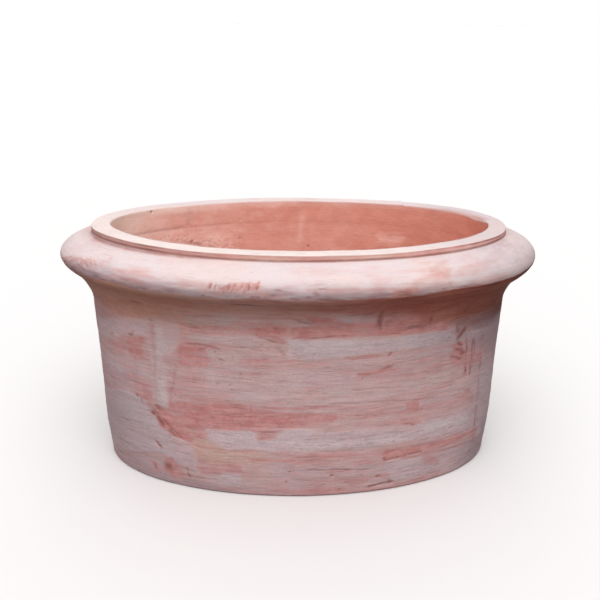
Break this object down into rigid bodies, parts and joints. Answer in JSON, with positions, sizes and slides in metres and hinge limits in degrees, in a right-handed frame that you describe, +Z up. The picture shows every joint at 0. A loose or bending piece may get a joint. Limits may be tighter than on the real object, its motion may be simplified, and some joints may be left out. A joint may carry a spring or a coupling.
{
  "type": "flower pot",
  "caption": "Oval terracotta flower pot with straight walls, a heavy rolled moulding under a flat lip, an open soil cavity and drain holes in the floor.",
  "frame": {"origin": "centre of the footprint, on the ground plane", "axes": "+X along the long axis of the oval, +Z up, the side seen in the picture towards -Y"},
  "size_m": [0.6502, 0.4172, 0.334],
  "materials": {
    "wall_clay": "unglazed terracotta under a worn pale wash, matt",
    "rim_clay": "unglazed terracotta under a thick pale wash, matt",
    "floor_clay": "bare unglazed terracotta, matt"
  },
  "bodies": {
    "root": {"floor_slab": "floor_clay", "floor_coil": "floor_clay", "wall_front": "wall_clay", "wall_right": "wall_clay", "wall_back": "wall_clay", "wall_left": "wall_clay", "rim_roll_front": "rim_clay", "rim_roll_right": "rim_clay", "rim_roll_back": "rim_clay", "rim_roll_left": "rim_clay", "rim_lip": "rim_clay"}
  },
  "joints": []
}
